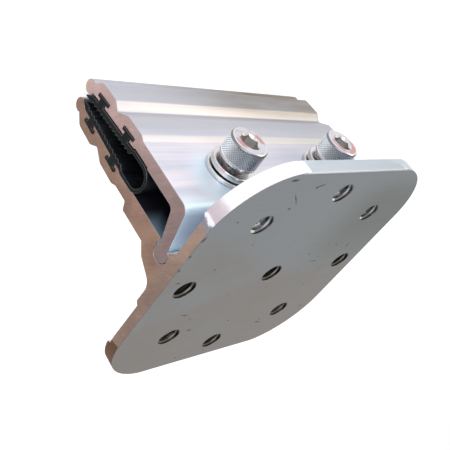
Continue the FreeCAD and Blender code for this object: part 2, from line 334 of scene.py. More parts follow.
PLATE_MARKS = (
    Mark(-15.4, 44.4, 3.9, 0.8, 22.0),
    Mark(-17.0, 43.7, 1.3, 1.2),
    Mark(-30.3, 47.2, 4.0, 1.3, 3.0),
    Mark(20.6, -34.4, 4.6, 0.9, -18.0),
    Mark(20.4, 3.0, 5.4, 0.6, -8.0),
    Mark(42.7, -29.6, 3.6, 0.6, -6.0),
    Mark(34.5, 9.8, 2.8, 1.1, 80.0),
    Mark(26.2, 11.3, 1.1, 0.9),
    Mark(20.2, 12.6, 0.9, 0.8),
    Mark(4.3, -8.6, 0.9, 0.8),
    Mark(29.4, -12.9, 0.9, 0.7),
    Mark(-40.8, 30.9, 1.0, 0.8),
    Mark(-33.5, 8.5, 0.9, 0.9),
    Mark(-25.1, -19.0, 1.2, 0.9),
    Mark(-1.3, -27.0, 1.2, 1.0),
    Mark(-24.7, 18.8, 0.9, 0.7),
    Mark(-21.9, 34.8, 1.5, 1.1),
    Mark(-22.6, 39.0, 8.0, 0.5, -46.0),
    Mark(-29.8, -15.6, 4.9, 0.6, -15.0),
    Mark(-20.4, -26.8, 2.8, 1.0, -12.0),
    Mark(-45.7, 4.6, 3.0, 0.5, -16.0),
    Mark(-49.3, 24.6, 3.2, 1.2, 78.0),
    Mark(-49.5, 17.4, 1.8, 1.0, 100.0),
    Mark(-49.6, 11.2, 1.5, 0.9, 84.0),
)


@dataclass(frozen=True)
class ExtrudedAluminium(Finish):
    """Mill finish 6063 alloy, as it leaves the die.

    Its base colour is a cold lavender silver. Fine lines along the bar, left by the die, break
    the reflections into bands, and broad streaks make them wander. It turns browner and darker
    near the lips, more so towards +X. Painted shade darkens it towards the lips, on a band of the
    shoulder, on the plate's +Y edge and towards +X. Painted bluish light lies round the washers,
    on the leg near the plate and on the pocket's walls behind the rubber, and painted shade makes
    the pocket black deep inside.
    """

    name: str = "extruded_mill_finish_aluminium"
    light: str = "#EBE4EC"
    dark: str = "#CFCFDC"
    # Painted shade: darker towards the lips and on a band of the shoulder
    painted_shade: str = "#B7B8C0"
    # Painted shade on the plate's +Y edge face
    edge_shade: str = "#9FB1BB"
    # Painted shade towards +X
    far_shade: str = "#9A9CA4"
    # Browner and darker near the lips, more so towards +X
    bloom: str = "#857A70"
    # Painted bluish light round the washers and on the leg near the plate
    painted_blue_light: str = "#E2F1FB"
    # Painted bluish light on the walls of the pocket behind the rubber
    pocket: str = "#98B0C6"
    # Painted shade deep in the pocket behind the rubber
    pocket_shade: str = "#2A2833"
    # Real die lines are about 0.1 mm wide, so they are drawn as coarse as they need to show
    line_mm: Triple = (90.0, 0.35, 0.35)
    streak_mm: Triple = (90.0, 4.0, 4.0)
    patch_mm: Triple = (30.0, 6.0, 6.0)
    streaked: Span = (0.3, 0.68)
    patchy: Span = (0.3, 0.6)
    # Spans of the browner, darker tone near the lips and towards +X
    bloom_x: Span = (-40.0, 25.0)
    bloom_z: Span = (-47.0, -56.0)
    # Where the painted bluish light lies: round the washers' seats and on the leg near the plate
    halo_centre: Triple = (27.0, 0.0, 18.0)
    halo_mm: Span = (17.0, 9.0)
    halo_y: Span = (22.0, 25.0)
    leg_y: Span = (7.0, 9.0)
    leg_foot: Span = (-17.0, -10.0)
    leg_top: Span = (-4.8, -5.0)
    # The pocket's walls, which get painted bluish light, and its mouth, where the painted shade ends
    pocket_from_y: Span = (12.0, 12.15)
    pocket_to_y: Span = (22.0, 21.85)
    pocket_foot: Span = (-44.0, -40.0)
    pocket_top: Span = (-10.8, -11.3)
    mouth_x: Span = (49.8, 42.0)
    mouth_z: Span = (-15.0, -22.0)
    # Spans of the painted shade towards the lips, of the pale band where it is halved, and of the
    # shoulder's band
    lip_shade_z: Span = (-32.0, -44.0)
    pale_foot: Span = (-52.9, -52.4)
    pale_top: Span = (-49.5, -50.0)
    band_shade_foot: Span = (-37.4, -37.0)
    band_shade_top: Span = (-35.2, -35.6)
    band_shade_x: Span = (-90.0, 30.0)
    # Spans of the painted shade on the plate's +Y edge
    edge_shade_y: Span = (40.0, 46.0)
    edge_shade_z: Span = (-8.0, -6.0)
    # Span of the painted shade towards +X
    far_shade_x: Span = (-20.0, 40.0)

    def brown_tone(self) -> Any:
        """Mask of the browner, darker tone: near the lips, and stronger towards the far end.

        Returns:
            Share of the browner tone.
        """
        x, _, z = self.axes
        patches = Ramp(self.streaks(self.patch_mm), *self.patchy, low=0.5, high=0.95)
        return self.join("MULTIPLY", Step(z, *self.bloom_z), Step(x, *self.bloom_x), patches)

    def blue(self) -> Any:
        """Mask of the painted bluish light: round the washers' seats, and on the leg near the plate.

        Returns:
            Share of the painted light.
        """
        _, y, z = self.axes
        mirrored = self.add("VectorMath", {"operation": "ABSOLUTE"}, {0: self.place})
        flat = self.add("VectorMath", {"operation": "MULTIPLY"}, {0: mirrored, 1: (1.0, 0.0, 1.0)})
        reach = self.add("VectorMath", {"operation": "DISTANCE"}, {0: flat, 1: self.halo_centre})
        halo = self.join("MULTIPLY", Step(reach.outputs["Value"], *self.halo_mm, high=0.8),
                         Step(y, *self.halo_y))
        leg = self.join("MULTIPLY", Step(z, *self.leg_foot), Step(z, *self.leg_top),
                        Step(y, *self.leg_y))
        return self.join("MAXIMUM", halo, leg)

    def inner(self) -> Any:
        """Mask of the pocket's walls behind the rubber, which get painted bluish light.

        Returns:
            1 on the walls and 0 elsewhere.
        """
        _, y, z = self.axes
        return self.join("MULTIPLY", Step(y, *self.pocket_from_y), Step(y, *self.pocket_to_y),
                         Step(z, *self.pocket_foot), Step(z, *self.pocket_top))

    def deep(self) -> Any:
        """Mask of the painted shade in the pocket: full behind the rubber, and gone at the ends above
        it.

        Returns:
            Share of the painted shade.
        """
        x, _, z = self.axes
        start, end = self.mouth_x
        far_in = self.join("MULTIPLY", Step(x, -start, -end), Step(x, start, end))
        return self.join("MULTIPLY", self.inner(),
                         self.join("MAXIMUM", far_in, Step(z, *self.mouth_z)))

    def build(self) -> bpy.types.Material:
        """Make the material.

        Returns:
            The material.
        """
        x, y, z = self.axes
        lines = self.streaks(self.line_mm)
        # A band near the lips where the painted shade is halved
        pale_ramp = self.join("MULTIPLY", Step(z, *self.pale_foot, high=0.5), Step(z, *self.pale_top))
        # Painted shade on a band of the shoulder, growing towards +X
        band_shade = self.join("MULTIPLY", Step(z, *self.band_shade_foot, high=0.8),
                              Step(z, *self.band_shade_top), Step(x, *self.band_shade_x))
        # Painted shade towards the lips
        lip_shade = self.join("MULTIPLY", Step(z, *self.lip_shade_z, high=0.8),
                            self.add("Math", {"operation": "SUBTRACT"}, {0: 1.0, 1: pale_ramp}))
        # Painted shade on the plate's +Y edge
        plate_edge = self.join("MULTIPLY", Step(y, *self.edge_shade_y, high=0.6),
                               Step(z, *self.edge_shade_z))
        # Over the streaked ground: painted shade towards the lips, on the shoulder's band, on the
        # plate's +Y edge and towards +X; a browner tone near the lips; painted bluish light round the
        # washers, on the leg and on the pocket's walls; painted shade deep in the pocket
        colour = self.layered(
            self.dark,
            (Step(self.streaks(self.streak_mm), *self.streaked), self.light),
            (self.join("MAXIMUM", lip_shade, band_shade), self.painted_shade),
            (plate_edge, self.edge_shade),
            (Step(x, *self.far_shade_x, high=0.4), self.far_shade),
            (self.brown_tone(), self.bloom),
            (self.blue(), self.painted_blue_light),
            (self.inner(), self.pocket),
            (self.deep(), self.pocket_shade))
        return self.finished(lines, depth_mm=0.006, strength=0.8, inputs={
            "Base Color": colour, "Metallic": 0.65,
            "Roughness": Ramp(lines, *NOISE, low=0.42, high=0.56)})


@dataclass(frozen=True)
class SawnAluminium(Finish):
    """End of the bar as the circular saw leaves it, dulled by handling.

    A warm taupe with fine slanting saw lines; the taupe is partly a painted reflection of brown
    surroundings, and its tone is painted lighter and darker towards the lips and towards +Y, as
    painted light and shade. Rougher than the extruded faces, so that it shows no mirror image.
    A few bright scratches cross it.
    """

    light: str
    dark: str
    # Gains of the tone at the lips, at the root and towards +Y: painted light and shade
    lip_gain: float
    root_gain: float
    side_gain: float
    rim: str = "#91857D"
    # Lines and scratches are coarser than the real ones, which would not show
    line_mm: Triple = (1.0, 14.0, 0.3)
    blotch_mm: Triple = (9.0, 9.0, 9.0)
    scratch_mm: Triple = (1.0, 5.0, 0.16)
    saw_turn: float = 35.0
    scratch_turn: float = 60.0
    lined: Span = (0.35, 0.65)
    scratched: Span = (0.74, 0.8)
    root_to_lip_z: Span = (-8.0, -62.0)
    side_y: Span = (2.0, 24.0)
    rim_z: Span = (-8.0, -3.0)

    def build(self) -> bpy.types.Material:
        """Make the material.

        Returns:
            The material.
        """
        _, y, z = self.axes
        lines = self.streaks(self.line_mm, self.saw_turn)
        scratches = self.streaks(self.scratch_mm, self.scratch_turn, detail=0.0)
        ground = self.layered(
            self.dark,
            (Step(self.streaks(self.blotch_mm), *NOISE), self.light),
            (Step(z, *self.rim_z, high=0.3), self.rim))
        shade = self.join(
            "MULTIPLY",
            Ramp(z, *self.root_to_lip_z, low=self.root_gain, high=self.lip_gain),
            Step(y, *self.side_y, low=1.0, high=self.side_gain),
            Ramp(lines, *self.lined, low=0.9, high=1.06),
            Ramp(scratches, *self.scratched, low=1.0, high=1.5))
        colour = self.add("VectorMath", {"operation": "SCALE"}, {0: ground, "Scale": shade})
        return self.finished(lines, depth_mm=0.02, strength=0.8, inputs={
            "Base Color": colour, "Metallic": 0.8, "Roughness": 0.5})


@dataclass(frozen=True)
class HandledPlate(Finish):
    """Outer face of the plate: mill finish dulled by oxide, with dents and scratches.

    A mid grey that warms towards -Y, with painted shade in the quarter at +X and +Y. The dents are
    dark because their walls face away, and each scratch throws a thin broken line.
    """

    name: str = "oxidised_mill_finish_aluminium"
    cold: str = "#7E8284"
    warm: str = "#7D7873"
    # Painted shade in the quarter at +X and +Y
    painted_shade: str = "#6A6C69"
    mark: str = "#3E3B39"
    # Lines and scratches are coarser than the real ones, which would not show
    line_mm: Triple = (70.0, 0.5, 0.5)
    scratch_mm: Triple = (7.0, 0.22, 1.0)
    blotch_mm: Triple = (41.6, 26.0, 26.0)
    warm_y: Span = (45.0, -45.0)
    # Spans of the painted shade in the quarter at +X and +Y
    shade_x: Span = (0.0, 30.0)
    shade_from_y: Span = (-15.0, 25.0)
    shade_to_y: Span = (52.0, 34.0)
    warmed: Span = (0.25, 0.75)
    scratched: Span = (0.7, 0.76)
    # Edge of a mark, in shares of its half size
    mark_edge: Span = (1.15, 0.35)
    through_mm: float = 100.0
    sunk_mm: float = 0.12
    pit_mm: float = 7.0
    pit_share: Span = (0.55, 1.0)
    pit_reach: float = 0.07
    ragged_mm: float = 0.5
    ragged_scale: float = 1.6

    def marks(self) -> Step:
        """Mask of the dents and scratches that have a place of their own.

        Returns:
            1 in a mark and 0 outside it.
        """
        ragged = self.add("TexNoise", {}, {
            "Vector": self.place, "Scale": self.ragged_scale, "Detail": 2.0})
        shifted = self.add("VectorMath", {"operation": "MULTIPLY_ADD"}, {
            0: ragged.outputs["Color"], 1: (self.ragged_mm, self.ragged_mm, 0.0), 2: self.place})
        moved = self.add("VectorMath", {"operation": "SUBTRACT"}, {
            0: shifted, 1: (self.ragged_mm / 2, self.ragged_mm / 2, 0.0)})
        reaches = []
        for mark in PLATE_MARKS:
            inside = self.add("Mapping", {"vector_type": "TEXTURE"}, {
                "Vector": moved, "Location": (mark.x, mark.y, 0.0),
                "Rotation": (0.0, 0.0, math.radians(mark.turn)),
                "Scale": (mark.length / 2, mark.width / 2, self.through_mm)})
            reach = self.add("VectorMath", {"operation": "LENGTH"}, {0: inside})
            reaches.append(reach.outputs["Value"])
        return Step(self.join("MINIMUM", *reaches), *self.mark_edge)

    def pits(self) -> bpy.types.Node:
        """Mask of scattered pits, in one cell of a few.

        Returns:
            1 in a pit and 0 outside it.
        """
        cells = self.add("TexVoronoi", {}, {"Vector": self.place, "Scale": 1 / self.pit_mm})
        channels = self.add("SeparateColor", {}, {0: cells.outputs["Color"]})
        size = Ramp(channels.outputs[0], *self.pit_share, high=self.pit_reach)
        return self.add("Math", {"operation": "LESS_THAN"}, {
            0: cells.outputs["Distance"], 1: size})

    def warmth(self) -> Step:
        """Share of the warm oxide: in blotches, and growing from the +Y edge to the -Y one.

        Returns:
            Share of the warm colour.
        """
        across = Ramp(self.axes[1], *self.warm_y, low=-0.3, high=0.3)
        level = self.add("Math", {"operation": "ADD"}, {
            0: self.streaks(self.blotch_mm), 1: across})
        return Step(level, *self.warmed)

    def build(self) -> bpy.types.Material:
        """Make the material.

        Returns:
            The material.
        """
        x, y, _ = self.axes
        lines = self.streaks(self.line_mm)
        scratches = self.streaks(self.scratch_mm, detail=1.0)
        spots = self.join("MAXIMUM", self.marks(), self.pits(),
                          Ramp(scratches, *self.scratched, high=0.4))
        # Painted shade in the quarter at +X and +Y
        corner = self.join("MULTIPLY", Step(x, *self.shade_x, high=0.9),
                           Step(y, *self.shade_from_y), Step(y, *self.shade_to_y))
        colour = self.layered(self.cold, (self.warmth(), self.warm), (corner, self.painted_shade),
                              (spots, self.mark))
        sunk = self.add("Bump", {"invert": True}, {
            "Height": spots, "Distance": self.sunk_mm * MM, "Strength": 0.7})
        return self.finished(lines, depth_mm=0.006, strength=0.3, inputs={
            "Base Color": colour, "Metallic": 0.85,
            "Roughness": Ramp(lines, *NOISE, low=0.48, high=0.53)}, under=sunk)


@dataclass(frozen=True)
class CutAluminium(Finish):
    """Alloy freshly cut by a tap or a file: bright silver with fine feed lines."""

    colour: str
    roughness: float = 0.3
    # Feed lines are finer than this on the real one, where they would not show
    feed_mm: Triple = (3.0, 3.0, 0.4)

    def build(self) -> bpy.types.Material:
        """Make the material.

        Returns:
            The material.
        """
        lines = self.streaks(self.feed_mm)
        colour = self.add("VectorMath", {"operation": "SCALE"}, {
            0: linear(self.colour)[:3], "Scale": Ramp(lines, *NOISE, low=0.92, high=1.04)})
        return self.finished(lines, depth_mm=0.01, strength=0.7, inputs={
            "Base Color": colour, "Metallic": 0.9, "Roughness": self.roughness})


@dataclass(frozen=True)
class MilledAluminium(Finish):
    """Rounded corner of the plate as the end mill leaves it.

    White silver with upright feed lines. Its tone along Y is painted light and shade where the
    corner turns: mauve where the cut starts and on the -Y corners, then a bright band and rosy
    patches, and white towards +Y. It is painted darker towards +X as shade, and the corner at the
    -X and -Y sides is painted dark brown as a reflection, and is rougher there.
    """

    name: str = "milled_aluminium"
    white: str = "#F0ECF2"
    # Painted shade towards +X
    far_shade: str = "#A3AFB8"
    # Painted light and shade where the corner turns, by Y: rosy, a bright band, then mauve, over white
    # towards +Y
    rosy: str = "#C4B6BA"
    bright_band: str = "#ECE8F6"
    mauve: str = "#8C858C"
    # Painted dark reflection at the corner at -X and -Y
    brown: str = "#6E4A2A"
    # Feed lines are finer than this on the real one, where they would not show
    feed_mm: Triple = (0.6, 0.6, 30.0)
    patch_mm: Triple = (3.0, 3.0, 3.0)
    wander_mm: float = 2.5
    # Span of the painted shade towards +X
    far_shade_x: Span = (-10.0, 30.0)
    # Spans along Y of the painted light and shade where the corner turns
    rosy_y: Span = (38.0, 33.0)
    bright_band_y: Span = (31.5, 30.5)
    mauve_y: Span = (30.0, 29.0)
    # Spans of the painted dark reflection at the corner at -X and -Y
    brown_x: Span = (-28.0, -41.0)
    brown_y: Span = (0.0, -26.0)

    def build(self) -> bpy.types.Material:
        """Make the material.

        Returns:
            The material.
        """
        x, y, _ = self.axes
        lines = self.streaks(self.feed_mm)
        wander = Ramp(self.streaks(self.patch_mm), 0.0, 1.0, low=-self.wander_mm,
                      high=self.wander_mm)
        reach = self.add("Math", {"operation": "ADD"}, {0: y, 1: wander})
        # Painted dark reflection at the corner at -X and -Y, where the finish is also rougher and less
        # metallic
        painted_shade = self.join("MULTIPLY", Step(y, *self.brown_y), Step(x, *self.brown_x))
        colour = self.layered(
            self.white,
            (Step(x, *self.far_shade_x, high=0.8), self.far_shade),
            (Step(reach, *self.rosy_y), self.rosy),
            (Step(reach, *self.bright_band_y), self.bright_band),
            (Step(reach, *self.mauve_y), self.mauve),
            (painted_shade, self.brown))
        lined = self.add("VectorMath", {"operation": "SCALE"}, {
            0: colour, "Scale": Ramp(lines, *NOISE, low=0.95, high=1.02)})
        return self.finished(lines, depth_mm=0.01, strength=0.5, inputs={
            "Base Color": lined, "Metallic": Ramp(painted_shade, 0.0, 1.0, low=0.9, high=0.3),
            "Roughness": Ramp(painted_shade, 0.0, 1.0, low=0.38, high=0.7)})


@dataclass(frozen=True)
class BlueZincSteel(Finish):
    """Steel with blue passivated zinc plating.

    The thin chromate film goes from a cold blue grey to a faint pink in blotches, over a
    bright, slightly cloudy plating; the pink is partly a painted reflection. Without a tint it is
    one colour all over.
    """

    blue: str = "#CDCACA"
    tint: str = "#D9A6A6"
    tint_from: float = 0.68
    tint_edge: float = 0.12
    film_mm: float = 3.5
    # The plating's real grain is far finer, and would not show
    grit_mm: float = 0.25
    roughness: float = 0.24
    clearer: float = 0.05
    cloudier: float = 0.08

    def tinted(self, film: bpy.types.Node) -> Step:
        """Share of the tint: in blotches of the film, whose thickness is a noise."""
        return Step(film, self.tint_from, self.tint_from + self.tint_edge)

    def build(self) -> bpy.types.Material:
        """Make the material.

        Returns:
            The material.
        """
        film = self.streaks((self.film_mm,) * 3, detail=2.0)
        grit = self.streaks((self.grit_mm,) * 3, detail=2.0)
        coats = [(self.tinted(film), self.tint)] if self.tint else []
        cloud = Ramp(film, *NOISE, low=self.roughness - self.clearer,
                     high=self.roughness + self.cloudier)
        return self.finished(grit, depth_mm=0.006, strength=0.6, inputs={
            "Base Color": self.layered(self.blue, *coats), "Metallic": 1.0, "Roughness": cloud})


@dataclass(frozen=True)
class SideShadedZincSteel(BlueZincSteel):
    """Zinc plating of the knurl: bright on the open side, with painted shade towards the plate."""

    bright_z: float = -25.5
    shaded_z: float = -21.0

    def tinted(self, film: bpy.types.Node) -> Step:
        """Share of the painted shade, which grows towards the plate whatever the film."""
        return Step(self.axes[2], self.bright_z, self.shaded_z)


@dataclass(frozen=True)
class BlackRubber(Finish):
    """Black EPDM rubber: near black with a soft sheen and a faint bloom.

    The extruded skin shines a little; the cut ends are rougher and stay darker.
    """

    shine: float
    roughness: float
    black: str
    bloom: str
    uneven: float = 0.08
    bloomed: Span = (0.4, 0.75)
    bloom_mm: Triple = (30.0, 6.0, 6.0)
    # The skin's real grain is finer, and would not show
    grain_mm: Triple = (2.0, 0.2, 0.2)

    def build(self) -> bpy.types.Material:
        """Make the material.

        Returns:
            The material.
        """
        patches = self.streaks(self.bloom_mm)
        dulled = Ramp(patches, *NOISE, low=self.roughness - self.uneven,
                      high=self.roughness + self.uneven)
        return self.finished(self.streaks(self.grain_mm), depth_mm=0.015, strength=0.6, inputs={
            "Base Color": self.layered(self.black, (Ramp(patches, *self.bloomed), self.bloom)),
            "Roughness": dulled, "Specular IOR Level": self.shine})


@dataclass(frozen=True)
class GreyCard(Finish):
    """Dark card that only reflections see, to draw the metal's dark side."""

    name: str = "grey_card"
    grey: str = "#34343A"

    def build(self) -> bpy.types.Material:
        """Make the material.

        Returns:
            The material.
        """
        glow = self.add("Emission", {}, {"Color": linear(self.grey), "Strength": 1.0})
        self.add("OutputMaterial", {}, {"Surface": glow})
        return self.owner


@dataclass(frozen=True)
class WhitePaper(Finish):
    """Paper of the floor: it shows its own white, less the object's soft shadow."""

    name: str = "white_paper"
    white: str = "#FFFFFF"
    grey: str = "#B4B4B4"
    strength: float = 0.8

    def build(self) -> bpy.types.Material:
        """Make the material.

        Returns:
            The material.
        """
        glow = self.add("Emission", {}, {"Color": linear(self.white), "Strength": self.strength})
        paper = self.add("BsdfDiffuse", {}, {"Color": linear(self.grey)})
        both = self.add("AddShader", {}, {0: glow, 1: paper})
        mixed = self.add("MixShader", {}, {0: self.seen_rays(), 1: paper, 2: both})
        self.add("OutputMaterial", {}, {"Surface": mixed})
        return self.owner


@dataclass(frozen=True)
class RoomLight(Finish):
    """Even light of the room: brighter overhead, with white behind the object."""

    name: str = "room"
    low: str = "#A9A9AB"
    high: str = "#D5DAE2"
    behind: str = "#FFFFFF"
    horizon: Span = (-0.1, 0.9)

    @cached_property
    def owner(self) -> bpy.types.World:
        """The world that carries it."""
        return bpy.data.worlds.new(self.name)

    def build(self) -> bpy.types.World:
        """Make the world.

        Returns:
            The world.
        """
        coordinates = self.add("TexCoord")
        split = self.add("SeparateXYZ", {}, {0: coordinates.outputs["Generated"]})
        colour = self.layered(self.low, (Step(split.outputs["Z"], *self.horizon), self.high),
                              (self.seen_rays(), self.behind))
        light = self.add("Background", {}, {"Color": colour})
        self.add("OutputWorld", {}, {"Surface": light})
        return self.owner


@dataclass(frozen=True)
class Axis:
    """Line that a turned piece is built about, with the two directions across it."""

    origin: Vector
    along: Vector
    first: Vector
    second: Vector

    def at(self, radius: float, angle: float, distance: float) -> Vector:
        """Point round the axis, in millimetres."""
        across = self.first * math.cos(angle) + self.second * math.sin(angle)
        return self.origin + across * radius + self.along * distance


class Draft:
    """Vertices and faces of a piece before it becomes a mesh."""

    def __init__(self) -> None:
        """Start empty."""
        self.points: list[Vector] = []
        self.faces: list[tuple[int, ...]] = []

    def add_rings(self, rings: list[list[Vector]], closed: bool = False) -> None:
        """Join rings of equal count into a skin.

        Args:
            rings: Points of each ring, in order.
            closed: Whether the last ring joins the first.
        """
        start = len(self.points)
        count = len(rings[0])
        for ring in rings:
            self.points += ring
        spans = len(rings) if closed else len(rings) - 1
        for row in range(spans):
            here = start + row * count
            there = start + (row + 1) % len(rings) * count
            for column in range(count):
                after = (column + 1) % count
                self.faces.append((here + column, here + after, there + after, there + column))

    def add_cap(self, ring: list[Vector]) -> None:
        """Close a ring with one face.

        Args:
            ring: Points of the ring, in order.
        """
        start = len(self.points)
        self.points += ring
        self.faces.append(tuple(range(start, start + len(ring))))

    def add_turned(self, axis: Axis, profile: list[tuple[float, float]], columns: int,
                   closed: bool = False) -> None:
        """Turn a profile about an axis.

        Args:
            axis: Axis of the piece.
            profile: Radius and distance along the axis of each point.
            columns: Steps of the full turn.
            closed: Whether the profile is a closed loop.
        """
        rings = []
        for radius, distance in profile:
            rings.append([axis.at(radius, math.tau * step / columns, distance)
                          for step in range(columns)])
        self.add_rings(rings, closed)

    def add_thread(self, axis: Axis, start: float, end: float, thread: "Thread",
                   limit: Callable[[float, float], float]) -> None:
        """Wind a thread's skin round an axis, with rows that follow the helix.

        Args:
            axis: Axis of the piece.
            start: Where the thread starts along the axis.
            end: Where it ends.
            thread: Its form.
            limit: Gives the radius kept at a distance along the axis, which shapes the ends.
        """
        form = thread.form()
        turns = math.ceil((end - start) / thread.pitch) + 1
        rows = (turns + 1) * len(form)
        base = len(self.points)
        for column in range(THREAD_COLUMNS):
            share = column / THREAD_COLUMNS
            for turn in range(-1, turns):
                for part, radius in form:
                    distance = start + (turn + part + share) * thread.pitch
                    distance = min(max(distance, start), end)
                    self.points.append(axis.at(limit(distance, radius), math.tau * share, distance))
        for column in range(THREAD_COLUMNS):
            here = base + column * rows
            there = base + (column + 1) % THREAD_COLUMNS * rows
            lift = len(form) if column == THREAD_COLUMNS - 1 else 0
            for row in range(rows - 1 - lift):
                near, far = here + row, there + row + lift
                self.faces.append((near, near + 1, far + 1, far))

    def piece(self, name: str, smooth_deg: float = 32.0) -> bpy.types.Object:
        """Make the mesh object, its shared points merged and its normals outward.

        Args:
            name: Name of the piece.
            smooth_deg: Edges sharper than this stay sharp.

        Returns:
            The object.
        """
        mesh = bpy.data.meshes.new(name)
        mesh.from_pydata([point * MM for point in self.points], [], self.faces)
        work = bmesh.new()
        work.from_mesh(mesh)
        bmesh.ops.remove_doubles(work, verts=work.verts, dist=WELD_MM * MM)
        bmesh.ops.dissolve_degenerate(work, edges=work.edges, dist=WELD_MM * MM)
        bmesh.ops.recalc_face_normals(work, faces=work.faces)
        work.to_mesh(mesh)
        work.free()
        return shaded(name, mesh, smooth_deg)


def shaded(name: str, mesh: bpy.types.Mesh, smooth_deg: float) -> bpy.types.Object:
    """Link a mesh as an object, smooth between edges that are sharper than an angle.

    Args:
        name: Name of the piece.
        mesh: Its mesh.
        smooth_deg: Edges sharper than this stay sharp.

    Returns:
        The object.
    """
    for face in mesh.polygons:
        face.use_smooth = True
    mesh.set_sharp_from_angle(angle=math.radians(smooth_deg))
    piece = bpy.data.objects.new(name, mesh)
    bpy.context.scene.collection.objects.link(piece)
    return piece


def dressed(piece: bpy.types.Object, finishes: list[bpy.types.Material]) -> bpy.types.Object:
    """Give a piece its materials.

    Args:
        piece: The piece.
        finishes: Its materials, in the order of its slots.

    Returns:
        The piece.
    """
    for finish in finishes:
        piece.data.materials.append(finish)
    return piece


def report(piece: bpy.types.Object) -> None:
    """Log a piece's name and its count of faces."""
    LOG.info("%s: %d faces", piece.name, len(piece.data.polygons))


def frame_mesh(node: bpy.types.Object) -> bmesh.types.BMesh:
    """Copy a frame node's mesh with its split points welded and its flat faces whole.

    Args:
        node: The node in the frame.

    Returns:
        The mesh to work on.
    """
    work = bmesh.new()
    work.from_mesh(node.data)
    bmesh.ops.remove_doubles(work, verts=work.verts, dist=FRAME_WELD_MM * MM)
    bmesh.ops.dissolve_limit(work, angle_limit=math.radians(FLAT_DEG), verts=work.verts,
                             edges=work.edges)
    work.normal_update()
    return work


def break_edges(work: bmesh.types.BMesh, sharper_deg: float, size_mm: float,
                material: int = 0) -> None:
    """Round the edges of a mesh where it turns by more than an angle.

    Args:
        work: The mesh.
        sharper_deg: Edges sharper than this are rounded.
        size_mm: How far the rounding reaches on each side.
        material: Slot of the new faces.
    """
    limit = math.radians(sharper_deg)
    sharp = [edge for edge in work.edges if edge.is_manifold and edge.calc_face_angle(0.0) > limit]
    bmesh.ops.bevel(work, geom=sharp, offset=size_mm * MM, offset_type="OFFSET", segments=2,
                    profile=0.5, affect="EDGES", clamp_overlap=False, material=material)


@dataclass
class Extrusions:
    """The two aluminium extrusions: the frame's shapes with their edges broken."""

    holes: list[Triple]
    hole_reach: float = 4.3
    edge_mm: float = 0.1
    bar_end_mm: float = 50.0
    plate_mm: float = 5.0
    corner_mm: float = 25.0
    near_mm: float = 0.1
    facing: float = 0.99
    upright: float = 0.3
    sharper_deg: float = 35.0
    smooth_deg: float = 40.0

    def in_hole(self, face: bmesh.types.BMFace) -> bool:
        """Whether a face lies wholly in one of the plate's holes.

        Args:
            face: The face.

        Returns:
            Whether it does.
        """
        for x, y, _ in self.holes:
            reach = max(math.hypot(vert.co.x / MM - x, vert.co.y / MM - y) for vert in face.verts)
            if reach < self.hole_reach:
                return True
        return False

    def zone(self, face: bmesh.types.BMFace) -> Zone:
        """Surface that a face belongs to, by where it is and where it looks.

        Args:
            face: The face.

        Returns:
            Its zone.
        """
        centre = face.calc_center_median() / MM
        normal = face.normal
        in_plate = centre.z > -self.plate_mm - self.near_mm
        past_corner = min(abs(centre.x), abs(centre.y)) > self.bar_end_mm - self.corner_mm
        if abs(normal.x) > self.facing and abs(centre.x) > self.bar_end_mm - self.near_mm:
            return Zone.SAWN
        if normal.z > self.facing and centre.z > -self.near_mm:
            return Zone.PLATE
        if self.in_hole(face):
            return Zone.BORE
        if in_plate and past_corner and abs(normal.z) < self.upright:
            return Zone.MILLED
        return Zone.EXTRUDED

    def make(self, node: bpy.types.Object, name: str, body: Body,
             finishes: dict[Zone, bpy.types.Material]) -> bpy.types.Object:
        """Build one extrusion over its node.

        Args:
            node: The node in the frame.
            name: Name of the piece.
            body: Body that it rides on.
            finishes: Material of each zone.

        Returns:
            The piece.
        """
        work = frame_mesh(node)
        top = max(vert.co.z for vert in work.verts)
        for face in work.faces:
            face.material_index = self.zone(face).value
        break_edges(work, self.sharper_deg, self.edge_mm, Zone.EDGE.value)
        for vert in work.verts:
            vert.co.z = min(vert.co.z, top)
        for face in work.faces:
            on_rim = face.calc_center_median().z > -2 * self.edge_mm * MM
            if face.material_index == Zone.EDGE.value and on_rim:
                face.material_index = Zone.PLATE.value
        mesh = bpy.data.meshes.new(name)
        work.to_mesh(mesh)
        work.free()
        piece = dressed(shaded(name, mesh, self.smooth_deg), [finishes[zone] for zone in Zone])
        weighted = piece.modifiers.new("flat_faces", "WEIGHTED_NORMAL")
        weighted.keep_sharp = True
        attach(piece, body.value)
        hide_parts(node.name)
        report(piece)
        return piece


@dataclass(frozen=True)
class Thread:
    """Screw thread of the usual 60 degree form, M8 unless told otherwise."""

    major_r: float = 4.0
    pitch: float = 1.25
    inside: bool = False
    inside_depth: float = 0.5413
    outside_depth: float = 0.6134
    crest_to: float = 0.13
    root_from: float = 0.44
    root_to: float = 0.69

    def form(self) -> list[tuple[float, float]]:
        """One pitch of the thread: crest and root, with their flanks.

        Returns:
            Share of the pitch and radius of each point.
        """
        depth = self.inside_depth if self.inside else self.outside_depth
        minor_r = self.major_r - depth * self.pitch
        crest, root = (minor_r, self.major_r) if self.inside else (self.major_r, minor_r)
        return [(0.0, crest), (self.crest_to, crest), (self.root_from, root), (self.root_to, root)]


